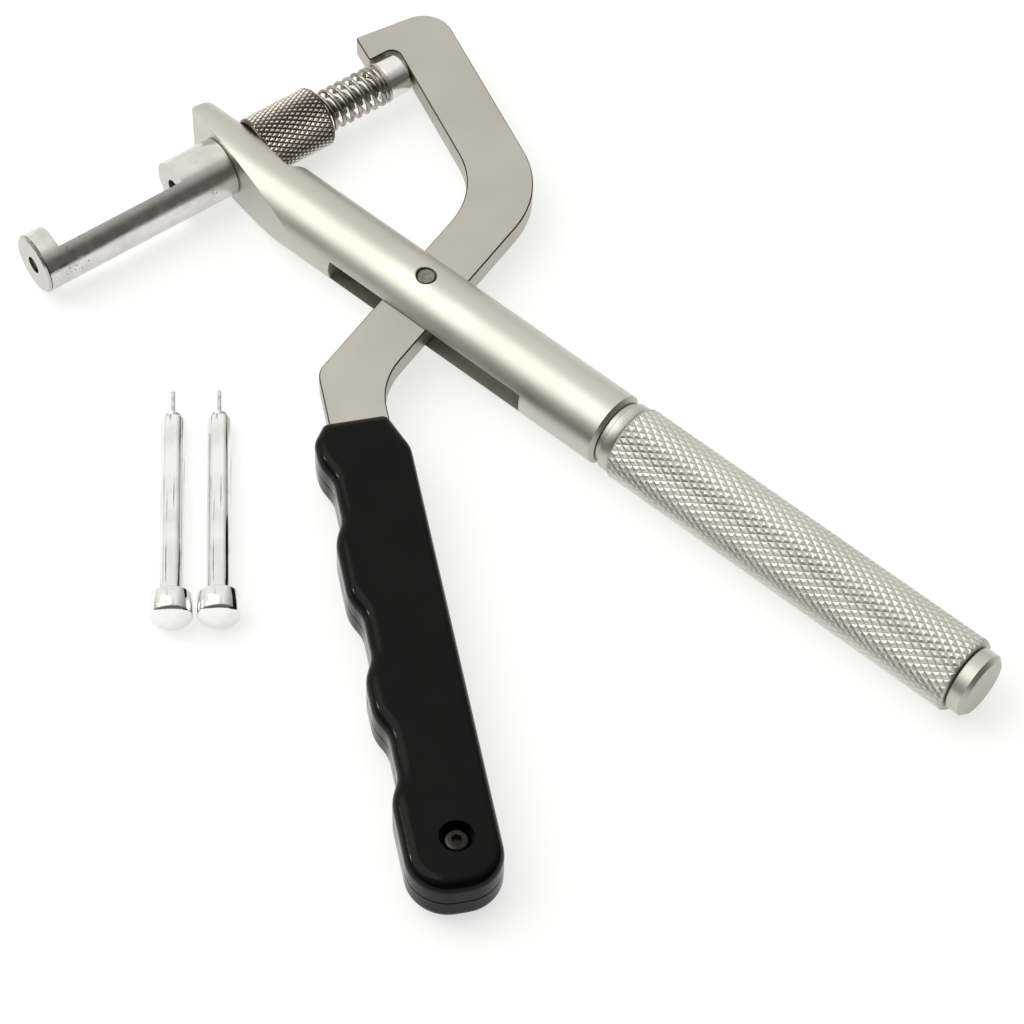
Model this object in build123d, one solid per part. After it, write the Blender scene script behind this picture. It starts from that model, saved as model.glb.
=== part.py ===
from build123d import *
import os
from math import asin, cos, pi, radians, sin, sqrt, tan

# Pin-removing pliers for folding keys, lying flat. Millimetres, +Z up.
# The shapes are worked out from the lever's pivot, which sits on the bar's axis:
# X runs along the bar towards the knurled handle, and the lever swings about Z.
# place() then moves each finished solid so that the origin is under the whole tool.

# ---- bar (the main body) ----
BAR_R = 8.0
NOSE_END_X = -66.5
BAR_END_X = 51.0
END_CHAMFER = 0.8
FRONT_FLAT_S = -1.8  # flat that the jaw's collar is drawn against
REAR_FLAT_S = 6.1  # flat that the locking sleeve bears on
REAR_FLAT_V = 13.4  # where the rear flat runs out into the bar
SLOT_WIDTH = 5.4
SLOT_FRONT_X = -20.5
SLOT_REAR_X = 32.5
SLOT_CUTTER_R = 20.0

# ---- jaw axis: crosses the bar's axis at JAW_X and leans forward from square ----
JAW_X = -55.0
JAW_LEAN = 14.0
JAW_R = 6.5
JAW_TIP_S = -48.6
POST_INNER_S = -43.8
COLLAR_FACE_S = -13.8
JAW_TAIL_R = 4.5
JAW_TAIL_S = 12.0
CHANNEL_V = 2.85  # the channel is cut away to this side of the jaw's axis
PUNCH_BORE_R = 2.55
EXIT_HOLE_R = 1.9

# ---- locking sleeve, spring and its washers ----
SLEEVE_R = 6.8
SLEEVE_END_S = 22.5
SLEEVE_POCKET_R = 5.1
SEAT_WASHER_T = 0.6
SEAT_WASHER_R = 4.95
SPRING_MEAN_R = 4.2
SPRING_WIRE_R = 0.45
SPRING_COILS = 13
SPRING_TOP_S = 38.0
HEAD_WASHER_T = 0.7
HEAD_WASHER_R = 4.6
WASHER_HOLE_R = 2.7
RUNNING_GAP = 0.05  # between pieces that screw or slide against one another

# ---- punch ----
PUNCH_R = 2.5
HEAD_R = 4.35
HEAD_LENGTH = 4.9
DOME_HEIGHT = 1.2
CONE_LENGTH = 1.9
CONE_TIP_R = 1.3
PUNCH_SHOULDER_S = -5.3
NEEDLE_R = 0.45
NEEDLE_TIP_S = -13.0
NEEDLE_ROOT = 3.0  # length of the needle that is pressed into the punch

# ---- lever plate ----
PLATE_T = 5.0
PLATE_EDGE = 0.25
PIVOT_R = 1.95
PIVOT_RIM = 0.45  # countersink round the pivot's hole in the bar
LEVER_BORE_R = 2.0
LIMB_LEAN = 6.35  # the limb through the slot leans back by this angle
LIMB_LEFT_X = -6.42
LIMB_RIGHT_X = 5.72
HOOK_ANGLE = 24.6  # slope of the hook's long edges
HOOK_INNER_D = 21.33  # distance of the inner edge from the pivot
HOOK_OUTER_D = 34.24

# ---- grip: laid out along the handle direction (g) and square to it (h) ----
GRIP_ANGLE = -38.0
GRIP_START_G = 30.8
GRIP_END_G = 140.6
GRIP_NEAR_H = -10.5
GRIP_FAR_H = -29.5
GRIP_HALF_T = 6.2
GRIP_EDGE_R = 2.6
PARTING_EDGE = 0.2  # broken edge where the two shells meet
GROOVE_CENTRES_G = (49.5, 82.0, 109.5)
GROOVE_HALF_LENGTH = 9.5
GROOVE_DEPTH = 2.2
TANG_HALF_W = 5.2
TANG_END_G = 135.5
SCREW_G = 129.8
SCREW_H = -19.0
SCREW_R = 1.5
SCREW_HEAD_R = 2.8
SCREW_HEAD_T = 1.8
COUNTERBORE_R = 3.4
COUNTERBORE_DEPTH = 3.0
NUT_ACROSS_FLATS = 5.4

# ---- knurled handle ----
NECK_R = 6.7
NECK_END_X = 52.4
LAND_R = 7.7
LAND_END_X = 54.4
KNURL_R = 8.2
KNURL_END_X = 139.5
HANDLE_BORE_R = 5.2
HANDLE_BORE_X = 68.0
STUD_R = 4.0
STUD_START_X = 38.0
STUD_END_X = 64.0
PLUG_R = 7.0
PLUG_END_X = 143.5
PLUG_SHANK_R = 5.15
PLUG_SHANK_X = 129.5

# ---- spare punches, lying on the ground beside the jaw ----
SPARE_X = -2.9
SPARE_Y = -66.8
SPARE_HEADING = -47.2  # direction from needle to head, in plan
SPARE_SPACING = 9.4

PLATE_HALF_T = PLATE_T / 2
LEAN = radians(JAW_LEAN)
JAW_DIR = Vector(sin(LEAN), cos(LEAN), 0)
JAW_SIDE = Vector(cos(LEAN), -sin(LEAN), 0)
HEAD_SEAT_S = SPRING_TOP_S + HEAD_WASHER_T
PUNCH_LENGTH = HEAD_SEAT_S + HEAD_LENGTH + DOME_HEIGHT - NEEDLE_TIP_S
GRIP_DIR = Vector(cos(radians(GRIP_ANGLE)), sin(radians(GRIP_ANGLE)), 0)
GRIP_SIDE = Vector(-GRIP_DIR.Y, GRIP_DIR.X, 0)


def jaw_point(s, v, z=0.0):
    """The point s along the jaw's axis and v to its side."""
    return Vector(JAW_X, 0, 0) + JAW_DIR * s + JAW_SIDE * v + Vector(0, 0, z)


def grip_point(g, h):
    """The point g along the handle and h square to it."""
    return GRIP_DIR * g + GRIP_SIDE * h


JAW_PLANE = Plane(origin=jaw_point(0, 0), x_dir=JAW_SIDE, z_dir=JAW_DIR)
GRIP_PLANE = Plane(origin=(0, 0, 0), x_dir=GRIP_DIR, z_dir=(0, 0, 1))
BAR_PLANE = Plane(origin=(0, 0, 0), x_dir=(0, 1, 0), z_dir=(1, 0, 0))


def turned(profile):
    """A solid of revolution from (position along the axis, radius) points, about local Z."""
    outline = Polyline(*[(radius, along) for along, radius in profile], close=True)
    return revolve(Plane.XZ * make_face(outline), Axis.Z)


def rod(start, end, radius, inner=0.0):
    """A plain or bored cylinder about local Z."""
    solid = Pos(0, 0, (start + end) / 2) * Cylinder(radius, end - start)
    if inner:
        solid -= Pos(0, 0, (start + end) / 2) * Cylinder(inner, end - start + 1)
    return solid


def rounded(corners):
    """A closed outline through (x, y, radius) corners, each rounded by its own radius."""
    edges = []
    count = len(corners)
    marks = []
    for i in range(count):
        x, y, radius = corners[i]
        before = corners[i - 1]
        after = corners[(i + 1) % count]
        here = Vector(x, y, 0)
        back = (Vector(before[0], before[1], 0) - here).normalized()
        ahead = (Vector(after[0], after[1], 0) - here).normalized()
        if radius == 0:
            marks.append((here, here, here))
            continue
        half = radians(back.get_angle(ahead)) / 2
        reach = radius / tan(half)
        bisector = (back + ahead).normalized()
        middle = here + bisector * (radius / sin(half) - radius)
        marks.append((here + back * reach, middle, here + ahead * reach))
    for i in range(count):
        start, middle, end = marks[i]
        if corners[i][2]:
            edges.append(ThreePointArc(start, middle, end))
        edges.append(Line(end, marks[(i + 1) % count][0]))
    return make_face(edges)


# ---------------------------------------------------------------- bar
def nose_cuts():
    """Material taken off the nose: one flat each side, square to the jaw's axis."""
    depth = 3 * BAR_R
    front = Pos(0, 0, FRONT_FLAT_S - depth / 2) * Box(8 * depth, 4 * depth, depth)
    rear_profile = rounded(
        [
            (REAR_FLAT_V - 60, REAR_FLAT_S, 0),
            (REAR_FLAT_V, REAR_FLAT_S, 2.0),
            (REAR_FLAT_V + 1.6, REAR_FLAT_S + depth, 0),
            (REAR_FLAT_V - 60, REAR_FLAT_S + depth, 0),
        ]
    )
    side = Plane(origin=jaw_point(0, 0), x_dir=JAW_SIDE, z_dir=(0, 0, 1))
    rear = extrude(side * rear_profile, amount=depth, both=True)
    return JAW_PLANE * front, rear


def slot():
    """The lever's slot, sawn in from below the bar with a round cutter's run-out at each end."""
    reach = BAR_R + 2
    run_out = SLOT_CUTTER_R - sqrt(SLOT_CUTTER_R**2 - 12.0**2)
    outline = [
        Line((SLOT_FRONT_X, -reach), (SLOT_REAR_X, -reach)),
        ThreePointArc(
            (SLOT_REAR_X, -reach),
            (SLOT_REAR_X - 3.0, -2.0),
            (SLOT_REAR_X - run_out - 6.0, reach),
        ),
        Line((SLOT_REAR_X - run_out - 6.0, reach), (SLOT_FRONT_X + run_out + 2.0, reach)),
        ThreePointArc(
            (SLOT_FRONT_X + run_out + 2.0, reach),
            (SLOT_FRONT_X + 2.0, -2.0),
            (SLOT_FRONT_X, -reach),
        ),
    ]
    return extrude(make_face(outline), amount=SLOT_WIDTH / 2, both=True)


def bar():
    length = BAR_END_X - NOSE_END_X
    solid = BAR_PLANE * rod(NOSE_END_X, BAR_END_X, BAR_R)
    solid = chamfer(solid.edges().group_by(Axis.X)[-1], END_CHAMFER)
    solid = chamfer(solid.edges().group_by(Axis.X)[0], END_CHAMFER / 2)
    front, rear = nose_cuts()
    solid -= front
    solid -= rear
    solid -= slot()
    solid -= JAW_PLANE * rod(FRONT_FLAT_S - 1, REAR_FLAT_S + 1, JAW_TAIL_R)
    solid -= rod(-length, length, PIVOT_R)
    rim = Pos(0, 0, BAR_R) * Cone(PIVOT_R, PIVOT_R + 2 * PIVOT_RIM, 2 * PIVOT_RIM)
    solid -= rim
    solid -= mirror(rim, Plane.XY)
    solid -= BAR_PLANE * rod(STUD_START_X - 1.5, BAR_END_X + 1, STUD_R + RUNNING_GAP)
    return solid


def pivot_pin():
    """Plain pin with both ends peened a little below the bar's crown."""
    half = BAR_R - 0.3
    crown = 0.25
    profile = [(-half, 0), (-half, PIVOT_R - crown), (-half + crown, PIVOT_R)]
    profile += [(half - crown, PIVOT_R), (half, PIVOT_R - crown), (half, 0)]
    return turned(profile)


# ---------------------------------------------------------------- jaw
def jaw():
    """End post, cut-away channel, collar and threaded tail, turned from one piece."""
    edge = 0.4
    profile = [
        (JAW_TIP_S, 0),
        (JAW_TIP_S, JAW_R - edge),
        (JAW_TIP_S + edge, JAW_R),
        (FRONT_FLAT_S - 0.2, JAW_R),
        (FRONT_FLAT_S, JAW_R - 0.2),
        (FRONT_FLAT_S, JAW_TAIL_R),
        (JAW_TAIL_S - 0.5, JAW_TAIL_R),
        (JAW_TAIL_S, JAW_TAIL_R - 0.5),
        (JAW_TAIL_S, 0),
    ]
    solid = turned(profile)
    gap = COLLAR_FACE_S - POST_INNER_S
    away = 4 * JAW_R
    cut = Pos(CHANNEL_V - away / 2, 0, (COLLAR_FACE_S + POST_INNER_S) / 2)
    solid -= cut * Box(away, away, gap)
    solid -= rod(COLLAR_FACE_S - 1, JAW_TAIL_S + 1, PUNCH_BORE_R)
    solid -= rod(JAW_TIP_S - 1, POST_INNER_S + 1, EXIT_HOLE_R)
    return JAW_PLANE * solid


def locking_sleeve():
    """Round nut on the jaw's tail, with a pocket that holds the spring's fixed end."""
    edge = 0.7
    face = REAR_FLAT_S + RUNNING_GAP
    thread = JAW_TAIL_R + RUNNING_GAP
    profile = [
        (face, thread),
        (face, SLEEVE_R - edge),
        (face + edge, SLEEVE_R),
        (SLEEVE_END_S - edge, SLEEVE_R),
        (SLEEVE_END_S, SLEEVE_R - edge),
        (SLEEVE_END_S, SLEEVE_POCKET_R),
        (JAW_TAIL_S - 0.3, SLEEVE_POCKET_R),
        (JAW_TAIL_S - 0.3, thread),
    ]
    return JAW_PLANE * turned(profile)


def seat_washer():
    """Washer between the end of the jaw's tail and the spring."""
    return JAW_PLANE * rod(JAW_TAIL_S, JAW_TAIL_S + SEAT_WASHER_T, SEAT_WASHER_R, WASHER_HOLE_R)


def head_washer():
    """Washer between the spring and the punch's head."""
    return JAW_PLANE * rod(SPRING_TOP_S, HEAD_SEAT_S, HEAD_WASHER_R, WASHER_HOLE_R)


def return_spring():
    """Compression spring round the punch, from one washer to the other."""
    start = JAW_TAIL_S + SEAT_WASHER_T + SPRING_WIRE_R + 0.02
    end = SPRING_TOP_S - SPRING_WIRE_R - 0.02
    pitch = (end - start) / SPRING_COILS
    path = Pos(0, 0, start) * Helix(pitch, end - start, SPRING_MEAN_R)
    section = Plane(origin=path @ 0, z_dir=path % 0) * Circle(SPRING_WIRE_R)
    return JAW_PLANE * sweep(section, path, is_frenet=True)


# ---------------------------------------------------------------- punch
def punch_stations():
    """Distances of the shaft's shoulder and the head's seat from the needle's tip."""
    shoulder = PUNCH_SHOULDER_S - NEEDLE_TIP_S
    seat = HEAD_SEAT_S - NEEDLE_TIP_S
    return shoulder, seat


def punch_body():
    """Headed punch: cone, shaft and a head with a shallow dome; needle tip at local zero."""
    shoulder, seat = punch_stations()
    rim = seat + HEAD_LENGTH
    dome_r = (HEAD_R**2 + DOME_HEIGHT**2) / (2 * DOME_HEIGHT)
    half = asin(HEAD_R / dome_r) / 2
    dome_middle = (dome_r * sin(half), rim + DOME_HEIGHT - dome_r * (1 - cos(half)))
    outline = [
        Line((0, shoulder - CONE_LENGTH), (CONE_TIP_R, shoulder - CONE_LENGTH)),
        Line((CONE_TIP_R, shoulder - CONE_LENGTH), (PUNCH_R, shoulder)),
        Line((PUNCH_R, shoulder), (PUNCH_R, seat)),
        Line((PUNCH_R, seat), (HEAD_R - 0.3, seat)),
        Line((HEAD_R - 0.3, seat), (HEAD_R, seat + 0.3)),
        Line((HEAD_R, seat + 0.3), (HEAD_R, rim)),
        ThreePointArc((HEAD_R, rim), dome_middle, (0, rim + DOME_HEIGHT)),
        Line((0, rim + DOME_HEIGHT), (0, shoulder - CONE_LENGTH)),
    ]
    solid = revolve(Plane.XZ * make_face(outline), Axis.Z)
    root = shoulder - CONE_LENGTH
    solid -= rod(root - 1, root + NEEDLE_ROOT, NEEDLE_R)
    return solid


def needle():
    """Hardened pin that is pressed into the punch and drives the key's pin out."""
    shoulder, _ = punch_stations()
    tip = 0.1
    profile = [
        (0, 0),
        (0, NEEDLE_R - tip),
        (tip, NEEDLE_R),
        (shoulder - CONE_LENGTH + NEEDLE_ROOT, NEEDLE_R),
        (shoulder - CONE_LENGTH + NEEDLE_ROOT, 0),
    ]
    return turned(profile)


def fitted(solid):
    """A punch piece put in the jaw."""
    return JAW_PLANE * (Pos(0, 0, NEEDLE_TIP_S) * solid)


def spare(solid, index):
    """A punch piece lying on the ground, held up by the head's rim and the shaft's shoulder."""
    shoulder, seat = punch_stations()
    slope = (HEAD_R - PUNCH_R) / (seat + 0.3 - shoulder)
    tilt = pi / 2 - slope
    heading = radians(SPARE_HEADING)
    along = Vector(cos(heading) * sin(tilt), sin(heading) * sin(tilt), cos(tilt))
    offset = (index - 0.5) * SPARE_SPACING
    rest = -KNURL_R + PUNCH_R / cos(slope) - shoulder * sin(slope)
    middle = Vector(SPARE_X - sin(heading) * offset, SPARE_Y + cos(heading) * offset, 0)
    start = middle - Vector(along.X, along.Y, 0) * (PUNCH_LENGTH / 2)
    plane = Plane(
        origin=(start.X, start.Y, rest),
        x_dir=(-sin(heading), cos(heading), 0),
        z_dir=along,
    )
    return plane * solid


# ---------------------------------------------------------------- lever
def meet(line_a, line_b):
    """The point where two lines meet; each line is (normal x, normal y, distance)."""
    ax, ay, ad = line_a
    bx, by, bd = line_b
    det = ax * by - ay * bx
    return (ad * by - ay * bd) / det, (ax * bd - ad * bx) / det


def lever_outline():
    """Hook, limb and tang of the lever plate."""
    lean = radians(LIMB_LEAN)
    left = (cos(lean), sin(lean), LIMB_LEFT_X * cos(lean))
    right = (cos(lean), sin(lean), LIMB_RIGHT_X * cos(lean))
    slope = radians(HOOK_ANGLE)
    inner = (sin(slope), cos(slope), HOOK_INNER_D)
    outer = (sin(slope), cos(slope), HOOK_OUTER_D)
    tang_near = (GRIP_SIDE.X, GRIP_SIDE.Y, -13.3)
    tang_far = (GRIP_SIDE.X, GRIP_SIDE.Y, -25.5)
    finger_in = (JAW_SIDE.X, JAW_SIDE.Y, JAW_SIDE.X * JAW_X - 4.8)
    finger_tip = jaw_point(40.1, -11.8)
    finger_toe = jaw_point(39.0, -4.8)
    finger_out = (sin(radians(67.9)), -cos(radians(67.9)))
    finger_out += (finger_out[0] * finger_tip.X + finger_out[1] * finger_tip.Y,)
    tang_start = GRIP_START_G + 3.0
    tang_shoulders = [
        grip_point(tang_start, -13.3),
        grip_point(tang_start, SCREW_H - 0.4 + TANG_HALF_W),
        grip_point(TANG_END_G, SCREW_H - 0.4 + TANG_HALF_W),
        grip_point(TANG_END_G, SCREW_H - 0.4 - TANG_HALF_W),
        grip_point(tang_start, SCREW_H - 0.4 - TANG_HALF_W),
        grip_point(tang_start, -25.5),
    ]
    radii = (0, 0, 4.0, 4.0, 0, 0)
    corners = [(*meet(tang_far, left), 5.0)]
    corners.append((*meet(left, inner), 18.0))
    corners.append((*meet(inner, finger_in), 2.2))
    corners.append((finger_toe.X, finger_toe.Y, 0.5))
    corners.append((finger_tip.X, finger_tip.Y, 0.8))
    corners.append((*meet(finger_out, outer), 6.5))
    corners.append((*meet(outer, right), 21.0))
    corners.append((*meet(right, tang_near), 15.5))
    for point, radius in zip(tang_shoulders, radii):
        corners.append((point.X, point.Y, radius))
    return rounded(corners)


def lever_plate():
    """Hook, limb and tang cut from one plate, bored for the pivot and the grip's screw."""
    solid = extrude(lever_outline(), amount=PLATE_HALF_T, both=True)
    faces = solid.faces().filter_by(Plane.XY)
    solid = chamfer(faces.edges(), PLATE_EDGE)
    solid -= rod(-PLATE_T, PLATE_T, LEVER_BORE_R)
    hole = grip_point(SCREW_G, SCREW_H)
    solid -= Pos(hole.X, hole.Y, 0) * Cylinder(SCREW_R + 0.2, 2 * PLATE_T)
    return solid


# ---------------------------------------------------------------- grip
def grip_outline():
    """Straight towards the bar, with finger grooves on the far side and a rounded end."""
    corners = [
        (GRIP_START_G, GRIP_FAR_H + 2.6, 1.4),
        (GRIP_START_G, GRIP_NEAR_H - 3.4, 1.4),
        (GRIP_START_G + 8.5, GRIP_NEAR_H, 7.0),
        (GRIP_END_G, GRIP_NEAR_H, 8.0),
        (GRIP_END_G, GRIP_FAR_H, 8.5),
    ]
    rise = 4.6
    for centre in reversed(GROOVE_CENTRES_G):
        corners.append((centre + GROOVE_HALF_LENGTH, GRIP_FAR_H, 10.0))
        corners.append((centre + GROOVE_HALF_LENGTH - rise, GRIP_FAR_H + GROOVE_DEPTH, 8.0))
        corners.append((centre - GROOVE_HALF_LENGTH + rise, GRIP_FAR_H + GROOVE_DEPTH, 8.0))
        corners.append((centre - GROOVE_HALF_LENGTH, GRIP_FAR_H, 10.0))
    corners.append((GRIP_START_G + 4.0, GRIP_FAR_H, 4.0))
    return rounded(corners)


def grip_shell(side):
    """One half of the grip; side is 1 for the upper half and -1 for the lower half."""
    solid = extrude(grip_outline(), amount=GRIP_HALF_T)
    solid = fillet(solid.faces().sort_by(Axis.Z)[-1].edges(), GRIP_EDGE_R)
    solid = chamfer(solid.faces().sort_by(Axis.Z)[0].edges(), PARTING_EDGE)
    hole = Pos(SCREW_G, SCREW_H, 0)
    solid -= hole * Cylinder(SCREW_R + 0.1, 4 * GRIP_HALF_T)
    solid -= hole * (Pos(0, 0, GRIP_HALF_T) * Cylinder(COUNTERBORE_R, 2 * COUNTERBORE_DEPTH))
    if side < 0:
        solid = mirror(solid, Plane.XY)
    return GRIP_PLANE * solid - extrude(lever_outline(), amount=PLATE_HALF_T, both=True)


def grip_screw():
    """Machine screw whose button head sits at the bottom of the upper counterbore."""
    seat = GRIP_HALF_T - COUNTERBORE_DEPTH
    shank = rod(-seat - 2.0, seat, SCREW_R)
    head = rod(seat, seat + SCREW_HEAD_T, SCREW_HEAD_R)
    head = fillet(head.edges().sort_by(Axis.Z)[-1], 1.1)
    recess = extrude(RegularPolygon(1.1, 6), amount=1.2)
    solid = shank + head
    solid -= Pos(0, 0, seat + SCREW_HEAD_T - 1.0) * recess
    return GRIP_PLANE * (Pos(SCREW_G, SCREW_H, 0) * solid)


def grip_nut():
    """Hexagon nut in the lower counterbore."""
    seat = GRIP_HALF_T - COUNTERBORE_DEPTH
    blank = extrude(RegularPolygon(NUT_ACROSS_FLATS / 2, 6, major_radius=False), amount=2.2)
    solid = Pos(0, 0, -seat - 2.2) * blank
    solid -= rod(-seat - 3, -seat + 1, SCREW_R)
    return GRIP_PLANE * (Pos(SCREW_G, SCREW_H, 0) * solid)


# ---------------------------------------------------------------- handle
def handle_tube():
    """Turned neck and land, then the knurled grip, hollow from the rear."""
    edge = 0.6
    front = BAR_END_X + RUNNING_GAP
    profile = [
        (front, STUD_R),
        (front, NECK_R),
        (NECK_END_X, NECK_R),
        (NECK_END_X, LAND_R),
        (LAND_END_X, LAND_R),
        (LAND_END_X + edge, KNURL_R),
        (KNURL_END_X - edge, KNURL_R),
        (KNURL_END_X, KNURL_R - edge),
        (KNURL_END_X, HANDLE_BORE_R),
        (HANDLE_BORE_X, HANDLE_BORE_R),
        (STUD_END_X, STUD_R),
    ]
    return BAR_PLANE * turned(profile)


def handle_stud():
    """Threaded stud that joins the handle to the bar."""
    edge = 0.5
    profile = [
        (STUD_START_X, 0),
        (STUD_START_X, STUD_R - edge),
        (STUD_START_X + edge, STUD_R),
        (STUD_END_X - edge, STUD_R),
        (STUD_END_X, STUD_R - edge),
        (STUD_END_X, 0),
    ]
    return BAR_PLANE * turned(profile)


def end_plug():
    """Plug that closes the hollow handle, with a chamfered flat head."""
    edge = 0.9
    seat = KNURL_END_X + RUNNING_GAP
    profile = [
        (PLUG_SHANK_X, 0),
        (PLUG_SHANK_X, PLUG_SHANK_R - 0.6),
        (PLUG_SHANK_X + 0.6, PLUG_SHANK_R),
        (seat, PLUG_SHANK_R),
        (seat, PLUG_R - 0.3),
        (seat + 0.3, PLUG_R),
        (PLUG_END_X - edge, PLUG_R),
        (PLUG_END_X, PLUG_R - edge),
        (PLUG_END_X, 0),
    ]
    return BAR_PLANE * turned(profile)


def build():
    parts = {
        "body_bar": bar(),
        "pivot_pin": pivot_pin(),
        "jaw": jaw(),
        "locking_sleeve": locking_sleeve(),
        "spring_seat_washer": seat_washer(),
        "return_spring": return_spring(),
        "punch_washer": head_washer(),
        "punch_body": fitted(punch_body()),
        "punch_needle": fitted(needle()),
        "lever_plate": lever_plate(),
        "grip_shell_upper": grip_shell(1),
        "grip_shell_lower": grip_shell(-1),
        "grip_screw": grip_screw(),
        "grip_nut": grip_nut(),
        "handle_tube": handle_tube(),
        "handle_stud": handle_stud(),
        "end_plug": end_plug(),
    }
    for index in range(2):
        name = f"spare_punch_{index + 1}"
        parts[f"{name}_body"] = spare(punch_body(), index)
        parts[f"{name}_needle"] = spare(needle(), index)
    return parts


def place(parts):
    """Move every solid so that the origin is the bottom centre of the tool's box."""
    whole = Compound(children=[Compound(part.solids()) for part in parts.values()])
    box = whole.bounding_box()
    middle = box.center()
    shift = Pos(-middle.X, -middle.Y, -box.min.Z)
    print("row origin in the pivot's frame:", middle.X, middle.Y, box.min.Z)
    print("size:", box.size)
    return {name: shift * part for name, part in parts.items()}


def main():
    os.makedirs("parts", exist_ok=True)
    for name, part in place(build()).items():
        export_step(part, f"parts/{name}.step")
        print(name, round(part.volume, 1))


main()
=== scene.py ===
"""Looks of a lever-driven pin punch for folding keys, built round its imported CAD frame.

Every size is in millimetres, measured from the lever's pivot on the bar's axis: X runs along
the bar towards the knurled handle and Z is up. Spindle.matrix() turns millimetres on a
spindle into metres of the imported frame.
"""

import logging
import math
from collections.abc import Callable, Iterator, Sequence
from contextlib import contextmanager
from dataclasses import dataclass, replace
from enum import Enum
from typing import Any

import bmesh
import bpy
from mathutils import Matrix, Vector


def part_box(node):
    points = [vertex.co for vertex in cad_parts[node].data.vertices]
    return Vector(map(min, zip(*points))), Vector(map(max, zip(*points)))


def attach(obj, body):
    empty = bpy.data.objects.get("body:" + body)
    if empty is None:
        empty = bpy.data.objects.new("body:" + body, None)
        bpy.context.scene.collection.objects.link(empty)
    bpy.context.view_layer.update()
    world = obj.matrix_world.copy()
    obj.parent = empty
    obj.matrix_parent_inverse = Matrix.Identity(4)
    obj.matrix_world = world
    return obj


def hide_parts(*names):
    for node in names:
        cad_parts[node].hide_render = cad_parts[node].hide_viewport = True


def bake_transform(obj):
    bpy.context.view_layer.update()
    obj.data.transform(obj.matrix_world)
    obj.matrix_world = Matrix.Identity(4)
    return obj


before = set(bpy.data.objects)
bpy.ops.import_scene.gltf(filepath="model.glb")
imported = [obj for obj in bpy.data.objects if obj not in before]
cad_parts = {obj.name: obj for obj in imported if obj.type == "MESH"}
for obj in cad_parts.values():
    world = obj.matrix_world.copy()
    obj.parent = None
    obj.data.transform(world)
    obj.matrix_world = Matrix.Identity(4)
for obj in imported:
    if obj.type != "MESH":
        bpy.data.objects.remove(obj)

LOG = logging.getLogger("pin_pliers")
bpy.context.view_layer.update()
MM = 0.001
EPSILON = 1e-4

Piece = bpy.types.Object
Socket = bpy.types.NodeSocket
Tree = bpy.types.NodeTree
Profile = Sequence[tuple[float, float]]


# ---------------------------------------------------------------- places
def pivot_point() -> Vector:
    """The lever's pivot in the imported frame, in metres."""
    low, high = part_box("pivot_pin")
    return (low + high) / 2


@dataclass(frozen=True)
class Spindle:
    """A line that turned pieces stand on.

    Attributes:
        start: the line's zero, in millimetres from the pivot.
        along: its direction.
        across: a direction square to it.
    """

    start: Vector
    along: Vector
    across: Vector

    def turn(self) -> Matrix:
        """The rotation that takes local Z to the spindle's direction."""
        side = self.along.cross(self.across)
        return Matrix((self.across, side, self.along)).transposed()

    def point(self, distance: float) -> Vector:
        """The point at a distance along the spindle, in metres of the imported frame."""
        return pivot_point() + (self.start + self.along * distance) * MM

    def matrix(self) -> Matrix:
        """Takes local millimetres, with Z along the spindle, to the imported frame."""
        place = Matrix.Translation(self.point(0))
        return place @ self.turn().to_4x4() @ Matrix.Scale(MM, 4)


JAW_LEAN = math.radians(14.0)
BAR_SPINDLE = Spindle(Vector(), Vector((1, 0, 0)), Vector((0, 1, 0)))
JAW_SPINDLE = Spindle(
    Vector((-55.0, 0, 0)),
    Vector((math.sin(JAW_LEAN), math.cos(JAW_LEAN), 0)),
    Vector((math.cos(JAW_LEAN), -math.sin(JAW_LEAN), 0)),
)
GRIP_TURN = math.radians(-38.0)
GRIP_SPINDLE = Spindle(
    Vector(),
    Vector((math.cos(GRIP_TURN), math.sin(GRIP_TURN), 0)),
    Vector((-math.sin(GRIP_TURN), math.cos(GRIP_TURN), 0)),
)
UPRIGHT = Spindle(Vector(), Vector((0, 0, 1)), Vector((1, 0, 0)))


# ---------------------------------------------------------------- materials
SMOOTH = {"interpolation_type": "SMOOTHSTEP"}
PLUS, LESS, TIMES = {"operation": "ADD"}, {"operation": "SUBTRACT"}, {"operation": "MULTIPLY"}
SIZE, LENGTH, DOT = {"operation": "ABSOLUTE"}, {"operation": "LENGTH"}, {"operation": "DOT_PRODUCT"}
# A Mix node has sockets of one name for each kind of data: these are the colour ones.
TINT = {"data_type": "RGBA"}
SHARE, UNDER, OVER, TINTED = 0, 6, 7, 2
# Detail of the noises: patches and wipe marks are ragged, and grain is plain.
PATCH_DETAIL, WIPE_DETAIL, MARK_DETAIL, GRAIN_DETAIL, PIT_DETAIL = 4.0, 5.0, 3.0, 1.5, 1.0
# Values of the noise between which a mark goes from none to all.
PATCH_SPAN, WIPE_SPAN, REFLECTION_STREAK_SPAN = (0.35, 0.70), (0.30, 0.70), (0.60, 0.66)
PIT_SPAN, PIT_FIELD_SPAN, SEAM_BREAK_SPAN = (0.66, 0.70), (0.45, 0.60), (0.25, 0.55)
# Sizes in millimetres: a pit, a field of pits, and the breaks in a seam's painted shade.
PIT_SIZE, PIT_FIELD_SIZE, SEAM_BREAK_SIZE = 0.5, 9.0, 1.2
SEAM_SHADE_SHARE = (0.35, 0.95)
SEAM_CORE = 0.6  # share of a seam's half width that is at its darkest
WIPE_SHARE = 0.4  # size of a wipe mark against that of a handled patch
END_ON_SPAN = (0.3, 0.8)  # cosine to the spindle between a side and an end face
RISING, FALLING = (0.0, 1.0), (1.0, 0.0)


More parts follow.
